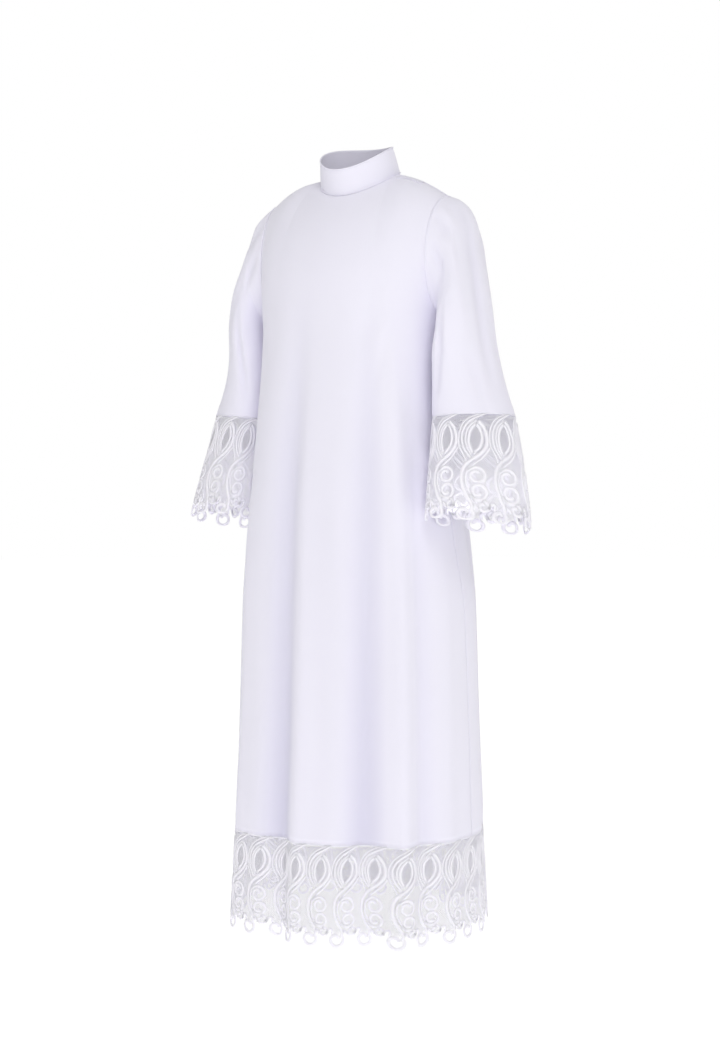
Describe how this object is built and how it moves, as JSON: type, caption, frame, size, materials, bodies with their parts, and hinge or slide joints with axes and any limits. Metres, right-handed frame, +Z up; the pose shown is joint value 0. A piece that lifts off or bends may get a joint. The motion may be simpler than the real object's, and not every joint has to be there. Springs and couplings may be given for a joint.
{
  "type": "alb robe",
  "caption": "Long white vestment worn with a stand collar, set-in flared sleeves and deep scalloped lace at cuffs and hem.",
  "frame": {"origin": "middle of the wearer's shoulders, level with the armholes' tops, between front and back", "axes": "+Z up along the hanging garment, +X to the wearer's left, -Y to the front"},
  "size_m": [0.727, 0.4631, 1.4911],
  "materials": {
    "cloth": "smooth matt white plain weave",
    "lace": "white guipure lace of raised cords on a net"
  },
  "bodies": {
    "root": {"body_front": "cloth", "body_back": "cloth", "collar": "cloth", "shoulder_placket": "cloth", "sleeve_left": "cloth", "sleeve_right": "cloth", "sleeve_lace_left": "lace", "sleeve_lace_right": "lace", "hem_lace_front": "lace", "hem_lace_back": "lace"}
  },
  "joints": []
}
